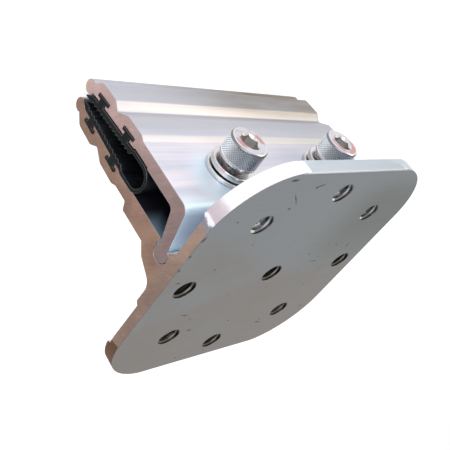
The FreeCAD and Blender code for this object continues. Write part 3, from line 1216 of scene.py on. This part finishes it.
@dataclass
class TappedHoles:
    """Threads inside the plate's holes, each with its countersunk start."""

    circle_d: float = 80.0
    count: int = 8
    on_line_mm: float = 1.0
    plate_mm: float = 5.0
    thin_plate_mm: float = 3.8
    stem_thread_mm: float = 8.0
    blind_from_mm: float = 6.0
    wall_mm: float = 0.04
    end_mm: float = 0.02
    sink_mm: float = 0.05
    tail_mm: float = 0.2
    lead_mm: float = 0.55
    deep_mm: float = 1.6
    # Side of each hole towards the light, and how far a face must turn to it for a painted glint: in
    # the countersunk start, below it, and deep down
    lit_side: tuple[float, float] = (-0.58, -0.81)
    lit_in_lead: float = 0.97
    lit_below: float = 0.8
    lit_deep: float = 0.1

    def places(self) -> list[Triple]:
        """Place every hole: on the stem's line it runs into the stem, elsewhere through the plate.

        Returns:
            X, Y and thread depth of each hole.
        """
        found = [(0.0, 0.0, self.stem_thread_mm)]
        for index in range(self.count):
            angle = math.tau * index / self.count
            x = self.circle_d / 2 * math.cos(angle)
            y = self.circle_d / 2 * math.sin(angle)
            if abs(y) < self.on_line_mm:
                depth = self.stem_thread_mm
            elif abs(y) > self.circle_d / 2 - self.on_line_mm:
                depth = self.plate_mm
            else:
                depth = self.thin_plate_mm
            found.append((x, y, depth))
        return found

    def make(self, lighter_holes: list[bpy.types.Material], darker_holes: list[bpy.types.Material]) -> None:
        """Build the thread of every hole.

        Args:
            lighter_holes: Finishes of the holes on the open side, towards +Y: of the thread, of its
                painted glint on the side towards the light, of the countersunk start and of the
                painted glint on that.
            darker_holes: The same of the other holes, whose thread and start are painted darker, as
                shade.
        """
        thread = Thread(inside=True)
        skin = thread.major_r + self.wall_mm
        for number, (x, y, depth) in enumerate(self.places()):
            axis = Axis(Vector((x, y, 0.0)), Vector((0, 0, -1)), Vector((1, 0, 0)), Vector((0, 1, 0)))

            def limit(distance: float, radius: float) -> float:
                """Open the thread at its start and, where it goes through, at its end.

                Args:
                    distance: Depth in the hole.
                    radius: Radius of the thread's form there.

                Returns:
                    The radius kept.
                """
                lead = skin + self.sink_mm - distance
                tail = thread.major_r - self.tail_mm - (depth - distance)
                through = depth < self.blind_from_mm
                return min(max(radius, lead, tail if through else radius), skin)

            draft = Draft()
            draft.add_thread(axis, self.end_mm, depth - self.end_mm, thread, limit)
            # Holes away from +Y get thread and start tones painted darker, as shade
            finishes = lighter_holes if y > self.on_line_mm else darker_holes
            piece = dressed(draft.piece("hole_thread_%d" % number), finishes)
            for face in piece.data.polygons:
                out = face.center / MM - Vector((x, y, 0.0))
                in_lead = out.z > -self.lead_mm
                least = self.lit_deep if out.z < -self.deep_mm else self.lit_below
                if in_lead:
                    least = self.lit_in_lead
                # A face turned towards the lit side gets a painted glint
                painted_glint = out.xy.normalized().dot(Vector(self.lit_side)) > least
                face.material_index = 2 * int(in_lead) + int(painted_glint)
            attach(piece, Body.BASE.value)
            report(piece)


def rolled_section(radii: tuple[float, float], heights: tuple[float, float],
                   rolls: tuple[float, float, float, float]) -> list[tuple[float, float]]:
    """Section of a washer, its edges rolled over.

    Args:
        radii: Radius of its bore and of its rim.
        heights: Height of its underside and of its top.
        rolls: Radius of each rolled edge: bore and rim below, then rim and bore above.

    Returns:
        Radius and height of each point of the closed section.
    """
    inner, outer = radii
    low, high = heights
    section = []
    for index, (far, height) in enumerate(((inner, low), (outer, low), (outer, high), (inner, high))):
        inward = 1 if far == inner else -1
        upward = 1 if height == low else -1
        steps = range(ROLL_STEPS + 1)
        for step in steps if index % 2 == 0 else reversed(steps):
            angle = math.radians(90.0 * step / ROLL_STEPS)
            section.append((far + inward * rolls[index] * (1 - math.cos(angle)),
                            height + upward * rolls[index] * (1 - math.sin(angle))))
    return section


@dataclass
class ScrewSet:
    """Cap screw with its spring washer and flat washer, over the frame's plain ones."""

    end: str
    head_mm: float = 7.75
    flats_mm: float = 6.0
    socket_mm: float = 4.0
    socket_lead: float = 0.3
    cone_deg: float = 120.0
    shank_r: float = 4.0
    tip_chamfer: float = 0.8
    edge_r: float = 0.9
    edge_steps: int = 5
    foot_mm: float = 0.35
    plain_foot: float = 1.25
    plain_top: float = 1.05
    knurl_gap: float = 0.1
    teeth: int = 42
    tooth_steps: int = 6
    tooth_mm: float = 0.17
    groove_share: float = 0.7
    side_mm: float = 0.4
    rim_drop: float = 0.15
    socket_drop: float = 0.6
    top_skin: float = 0.01
    cone_rim: float = 0.99
    cone_tip_r: float = 0.05
    flat_bore_r: float = 4.2
    flat_rolls: tuple[float, float, float, float] = (0.1, 0.35, 0.3, 0.3)
    flat_columns: int = 120
    spring_bore_r: float = 4.1
    spring_mm: float = 2.0
    spring_gap_deg: float = 14.0
    spring_roll: float = 0.3
    spring_steps: int = 150

    def axis(self, node: str) -> tuple[Axis, float, float, float]:
        """Find where one of the set's nodes stands.

        Args:
            node: Name of the node.

        Returns:
            Its axis, its two ends along Y and its radius.
        """
        low, high = (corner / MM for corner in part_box(node))
        middle = (low + high) / 2
        axis = Axis(Vector((middle.x, 0.0, middle.z)), Vector((0, 1, 0)), Vector((1, 0, 0)),
                    Vector((0, 0, 1)))
        return axis, low.y, high.y, (high.x - low.x) / 2

    def place(self, draft: Draft, kind: str, body: str,
              finishes: list[bpy.types.Material]) -> bpy.types.Object:
        """Make a draft into the piece that stands for a node of the set.

        Args:
            draft: The piece's skin.
            kind: What it is, as in the node's name.
            body: Body that it rides on.
            finishes: Its materials.

        Returns:
            The piece.
        """
        piece = dressed(draft.piece(kind + "_with_detail_" + self.end), finishes)
        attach(piece, self.end + "_" + body)
        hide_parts(kind + "_" + self.end)
        report(piece)
        return piece

    def knurl_row(self, axis: Axis, head_r: float, height: float, share: float) -> list[Vector]:
        """Ring of the diamond knurl at a height.

        Args:
            axis: Axis of the screw.
            head_r: Radius over the knurl's points.
            height: Distance along the axis.
            share: Place along the axis in tooth pitches.

        Returns:
            The ring.
        """
        ring = []
        columns = self.teeth * self.tooth_steps
        for column in range(columns):
            turn = column / self.tooth_steps
            grooves = (abs((turn + share) % 1.0 - 0.5), abs((turn - share) % 1.0 - 0.5))
            cut = 1.0 - 2.0 * min(grooves)
            ring.append(axis.at(head_r - self.tooth_mm * cut, math.tau * column / columns, height))
        return ring

    def add_head(self, draft: Draft, axis: Axis, foot: float, top: float, head_r: float) -> None:
        """Add the knurled head with its hexagon socket.

        Args:
            draft: Skin of the screw.
            axis: Axis of the screw.
            foot: Underside of the head.
            top: Top of the head.
            head_r: Radius of the head.
        """
        columns = self.teeth * self.tooth_steps

        def ring(radius: float, height: float) -> list[Vector]:
            """Plain ring of the head."""
            return [axis.at(radius, math.tau * step / columns, height) for step in range(columns)]

        rings = [ring(self.shank_r / 2, foot), ring(head_r - self.foot_mm, foot),
                 ring(head_r, foot + self.foot_mm), ring(head_r, foot + self.plain_foot)]
        low = foot + self.plain_foot + self.knurl_gap
        high = top - self.plain_top
        pitch = math.tau * head_r / self.teeth
        rows = round((high - low) / pitch * self.tooth_steps)
        for row in range(rows + 1):
            height = low + (high - low) * row / rows
            rings.append(self.knurl_row(axis, head_r, height, row / self.tooth_steps))
        rings.append(ring(head_r, high + self.knurl_gap))
        for step in range(self.edge_steps + 1):
            angle = math.radians(90.0 * step / self.edge_steps)
            rings.append(ring(head_r - self.edge_r + self.edge_r * math.cos(angle),
                              top - self.edge_r + self.edge_r * math.sin(angle)))
        apothem = self.flats_mm / 2
        half_side = math.radians(30.0)
        lead_r = apothem / math.cos(half_side) + self.socket_lead
        rings.append(ring(lead_r, top))
        hexagon = []
        for column in range(columns):
            angle = math.tau * column / columns
            off = (angle + half_side) % (2 * half_side) - half_side
            hexagon.append((apothem / math.cos(half_side - abs(off)), angle))
        rings.append([axis.at(radius, angle, top - (lead_r - radius)) for radius, angle in hexagon])
        floor = top - self.socket_mm
        rings.append([axis.at(radius, angle, floor) for radius, angle in hexagon])
        rings.append(ring(apothem * self.cone_rim, floor))
        rings.append(ring(self.cone_tip_r,
                          floor - apothem / math.tan(math.radians(self.cone_deg / 2))))
        draft.add_rings(rings)
        draft.add_cap(rings[-1])
        draft.add_cap(rings[0])

    def coat(self, radius: float, height: float, foot: float, top: float, head_r: float) -> Coat:
        """Plating of a face of the screw, by where it is.

        Args:
            radius: Distance of the face from the axis.
            height: Its place along the axis.
            foot: Underside of the head.
            top: Top of the head.
            head_r: Radius of the head.

        Returns:
            Its plating.
        """
        if radius > head_r - self.side_mm and foot + self.plain_foot < height < top - self.plain_top:
            on_tooth = radius > head_r - self.groove_share * self.tooth_mm
            return Coat.KNURL if on_tooth else Coat.GROOVE
        if height > top - self.top_skin and radius > self.flats_mm / 2:
            return Coat.RING
        if radius > head_r - self.edge_r and top - self.edge_r < height < top - self.rim_drop:
            return Coat.RIM
        if radius < self.flats_mm / 2 + self.side_mm and foot < height < top - self.socket_drop:
            return Coat.SOCKET
        return Coat.SMOOTH

    def make_screw(self, plating: dict[Coat, bpy.types.Material]) -> None:
        """Build the screw: knurled head and threaded shank.

        Args:
            plating: Its finishes.
        """
        axis, tip, top, head_r = self.axis("cap_screw_" + self.end)
        foot = top - self.head_mm
        tip_r = self.shank_r - self.tip_chamfer

        def limit(distance: float, radius: float) -> float:
            """Chamfer the tip, and run the thread out under the head."""
            return min(radius, tip_r + distance - tip, tip_r + (foot - distance) * 2)

        draft = Draft()
        self.add_head(draft, axis, foot, top, head_r)
        draft.add_thread(axis, tip, foot, Thread(major_r=self.shank_r), limit)
        for height in (tip, foot):
            draft.add_cap([axis.at(tip_r, math.tau * step / THREAD_COLUMNS, height)
                           for step in range(THREAD_COLUMNS)])
        piece = self.place(draft, "cap_screw", "screw", [plating[coat] for coat in Coat])
        for face in piece.data.polygons:
            centre = face.center / MM
            radius = math.hypot(centre.x - axis.origin.x, centre.z - axis.origin.z)
            face.material_index = self.coat(radius, centre.y, foot, top, head_r).value

    def make_flat_washer(self, finish: bpy.types.Material) -> None:
        """Build the punched flat washer.

        Args:
            finish: Its finish.
        """
        axis, low, high, radius = self.axis("flat_washer_" + self.end)
        profile = rolled_section((self.flat_bore_r, radius), (low, high), self.flat_rolls)
        draft = Draft()
        draft.add_turned(axis, profile, self.flat_columns, closed=True)
        self.place(draft, "flat_washer", "washers", [finish])

    def make_spring_washer(self, finish: bpy.types.Material) -> None:
        """Build the split spring washer on its helix, with square ends.

        Args:
            finish: Its finish.
        """
        axis, low, high, radius = self.axis("spring_washer_" + self.end)
        rise = high - low - self.spring_mm
        turn = 360.0 - self.spring_gap_deg
        section = rolled_section((self.spring_bore_r, radius), (0.0, self.spring_mm),
                                 (self.spring_roll,) * 4)
        rings = []
        for step in range(self.spring_steps + 1):
            share = step / self.spring_steps
            angle = math.radians(self.spring_gap_deg / 2 + turn * share - 90.0)
            rings.append([axis.at(far, angle, low + rise * share + height)
                          for far, height in section])
        draft = Draft()
        draft.add_rings(rings)
        draft.add_cap(rings[0])
        draft.add_cap(rings[-1])
        self.place(draft, "spring_washer", "washers", [finish])

    def make(self, plating: dict[Coat, bpy.types.Material]) -> None:
        """Build the whole set.

        Args:
            plating: Its finishes.
        """
        self.make_screw(plating)
        self.make_flat_washer(plating[Coat.SMOOTH])
        self.make_spring_washer(plating[Coat.SMOOTH])


@dataclass
class RubberInsert:
    """Toothed rubber between the jaws, with soft edges."""

    edge_mm: float = 0.1
    sharper_deg: float = 30.0
    smooth_deg: float = 50.0
    end_facing: float = 0.95
    fold_from_y: float = 15.5
    fold_to_y: float = 18.5
    fold_z: float = -33.0

    def make(self, node: bpy.types.Object, skin: bpy.types.Material, cut: bpy.types.Material) -> None:
        """Build the insert over its node.

        Args:
            node: The node in the frame.
            skin: Material of its extruded faces.
            cut: Material of its cut ends.
        """
        work = frame_mesh(node)
        break_edges(work, self.sharper_deg, self.edge_mm)
        bmesh.ops.triangulate(work, faces=[face for face in work.faces if len(face.verts) > 4])
        mesh = bpy.data.meshes.new("toothed_rubber")
        work.to_mesh(mesh)
        work.free()
        piece = dressed(shaded("toothed_rubber", mesh, self.smooth_deg), [skin, cut])
        for face in mesh.polygons:
            face.material_index = int(abs(face.normal.x) > self.end_facing)
        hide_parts(node.name)
        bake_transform(piece)
        report(piece)


@dataclass(frozen=True)
class Softbox:
    """Square lamp that looks at a point of the object."""

    name: str
    place: Triple
    side: float
    watts: float
    tint: str = "#FFFFFF"


@dataclass
class Studio:
    """Floor, lamps, grey card and camera, in an evenly lit room."""

    floor_z: float
    floor_side: float = 6000.0
    card_place: Triple = (-490.0, -370.0, 330.0)
    card_side: float = 900.0
    lens_pixels: float = 727.5
    centre_x: float = 255.5
    centre_y: float = 212.8
    camera_place: Triple = (-185.75, 139.74, 79.46)
    camera_forward: Triple = (0.74961, -0.52824, -0.39881)
    camera_up: Triple = (0.06408, 0.65763, -0.75061)
    lamp_up: Triple = (0.0, 1.0, 0.1)
    softboxes: tuple[Softbox, ...] = (
        Softbox("window", (-250.0, 620.0, 420.0), 420.0, 1.6),
        Softbox("ceiling", (-60.0, -160.0, 800.0), 500.0, 1.6, "#F4F6FF"),
        Softbox("ramp_light", (585.0, 500.0, 140.0), 260.0, 1.25, "#FFEFC0"),
        Softbox("sky_fill", (-470.0, 330.0, 200.0), 300.0, 1.0, "#E8F2F4"),
    )

    def aim(self, place: Vector, forward: Vector, up: Vector) -> Matrix:
        """World matrix of a camera, lamp or card.

        Args:
            place: Where it stands, in millimetres.
            forward: Where it looks.
            up: Which way its top points.

        Returns:
            The matrix.
        """
        back = -forward.normalized()
        right = up.cross(back).normalized()
        turned = Matrix((right, back.cross(right), back)).transposed().to_4x4()
        return Matrix.Translation(place * MM) @ turned

    def make_camera(self) -> None:
        """Place the camera as the photograph was taken."""
        data = bpy.data.cameras.new("camera")
        data.sensor_width = SENSOR_MM
        data.lens = self.lens_pixels / PHOTO_PIXELS * SENSOR_MM
        data.shift_x = 0.5 - self.centre_x / PHOTO_PIXELS
        data.shift_y = self.centre_y / PHOTO_PIXELS - 0.5
        data.clip_start = 1 * MM
        camera = bpy.data.objects.new("camera", data)
        bpy.context.scene.collection.objects.link(camera)
        camera.matrix_world = self.aim(Vector(self.camera_place), Vector(self.camera_forward),
                                       Vector(self.camera_up))
        bpy.context.scene.camera = camera

    def make_lamps(self) -> None:
        """Hang the softboxes."""
        for box in self.softboxes:
            data = bpy.data.lights.new(box.name, "AREA")
            data.shape = "SQUARE"
            data.size = box.side * MM
            data.energy = box.watts
            data.color = linear(box.tint)[:3]
            lamp = bpy.data.objects.new(box.name, data)
            lamp.visible_camera = False
            bpy.context.scene.collection.objects.link(lamp)
            place = Vector(box.place)
            lamp.matrix_world = self.aim(place, TARGET - place, Vector(self.lamp_up))

    def square(self, name: str, side: float, height: float, finish: Finish) -> bpy.types.Object:
        """Cut a square sheet of the studio.

        Args:
            name: Its name.
            side: Its side, in millimetres.
            height: Its height, in millimetres.
            finish: What it is made of.

        Returns:
            The sheet.
        """
        half = side / 2
        corners = ((-half, -half), (half, -half), (half, half), (-half, half))
        draft = Draft()
        draft.add_cap([Vector((x, y, height)) for x, y in corners])
        return dressed(draft.piece(name), [finish.build()])

    def make_card(self) -> None:
        """Stand a grey card where only reflections see it."""
        card = self.square("grey_card", self.card_side, 0.0, GreyCard())
        place = Vector(self.card_place)
        card.matrix_world = self.aim(place, TARGET - place, Vector((0, 0, 1)))
        card.visible_camera = False
        card.visible_diffuse = False
        card.visible_shadow = False
        card.visible_transmission = False
        card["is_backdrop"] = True

    def make(self) -> None:
        """Set the whole studio."""
        self.make_camera()
        self.make_lamps()
        self.make_card()
        bpy.context.scene.world = RoomLight().build()
        self.square("floor", self.floor_side, self.floor_z, WhitePaper())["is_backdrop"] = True
        bpy.context.scene.view_settings.view_transform = "Standard"


def main() -> None:
    """Build the studio and every piece round the frame."""
    logging.basicConfig(level=logging.INFO, format="%(message)s")
    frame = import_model()
    cad_low, cad_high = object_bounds()
    nodes = frame["nodes"]
    Studio(floor_z=cad_low.z / MM).make()

    extruded = ExtrudedAluminium().build()
    milled = MilledAluminium().build()
    edge = CutAluminium("broken_edge_aluminium", "#A69C9A", feed_mm=(2.0, 2.0, 2.0)).build()
    # Painted glint for faces towards the light in the holes; thread and countersink tones painted
    # darker as shade, most in the holes away from +Y
    painted_glint = CutAluminium("painted_glint_aluminium", "#E9E8E4").build()
    tapped = CutAluminium("tapped_aluminium", "#7E7F82").build()
    countersunk = CutAluminium("countersunk_aluminium", "#6C6C6E").build()
    shaded_tapped = CutAluminium("shaded_tapped_aluminium", "#5E5A53").build()
    shaded_countersunk = CutAluminium("shaded_countersunk_aluminium", "#3B3834").build()
    # The ends' taupes are partly a painted reflection of brown surroundings, and their gains are
    # painted light and shade
    base_end = SawnAluminium("sawn_aluminium_of_base", "#9C7D6B", "#896B5D", 0.85, 1.0, 1.3).build()
    clamp_end = SawnAluminium("sawn_aluminium_of_clamp", "#A58C87", "#967F7B", 1.65, 0.78, 1.0).build()
    holes = TappedHoles()
    extrusions = Extrusions(holes.places())
    base_finishes = {Zone.EXTRUDED: extruded, Zone.SAWN: base_end, Zone.PLATE: HandledPlate().build(),
                     Zone.MILLED: milled, Zone.EDGE: edge, Zone.BORE: shaded_tapped}
    extrusions.make(nodes["base_jaw"], "base_extrusion", Body.BASE, base_finishes)
    extrusions.make(nodes["clamp_jaw"], "clamp_extrusion", Body.CLAMP,
                    {**base_finishes, Zone.SAWN: clamp_end})
    holes.make([tapped, painted_glint, countersunk, painted_glint], [shaded_tapped, shaded_tapped, shaded_countersunk, painted_glint])

    coats = {
        Coat.SMOOTH: BlueZincSteel("blue_zinc_plated_steel"),
        # Knurl and grooves: bright on the open side, with painted shade towards the plate; the grooves
        # are painted darker than the teeth, as shade
        Coat.KNURL: SideShadedZincSteel("blue_zinc_plated_knurl", "#F0F6F8", "#AEACAE"),
        Coat.GROOVE: SideShadedZincSteel("blue_zinc_plated_groove", "#C0C6CA", "#888B90", roughness=0.3),
        # The ring's pink is partly a painted reflection
        Coat.RING: BlueZincSteel("blue_zinc_plated_ring", "#C3C2C9", "#BD8C8D", tint_from=0.45,
                                 film_mm=5.0),
        # Painted shade on the head's rounded rim
        Coat.RIM: BlueZincSteel("rim_shaded_zinc_plating", "#7C7D82", ""),
        Coat.SOCKET: BlueZincSteel("zinc_plating_in_socket", "#C9C6C5", "", roughness=0.42)}
    plating = {coat: finish.build() for coat, finish in coats.items()}
    for end in ("near", "far"):
        ScrewSet(end).make(plating)
    skin = BlackRubber("extruded_epdm_rubber", 1.0, 0.27, "#0E0F13", "#1D1F24").build()
    cut = BlackRubber("cut_epdm_rubber", 0.12, 0.55, "#07080A", "#121417").build()
    RubberInsert().make(nodes["rubber_insert"], skin, cut)


if __name__ == "__main__":
    main()
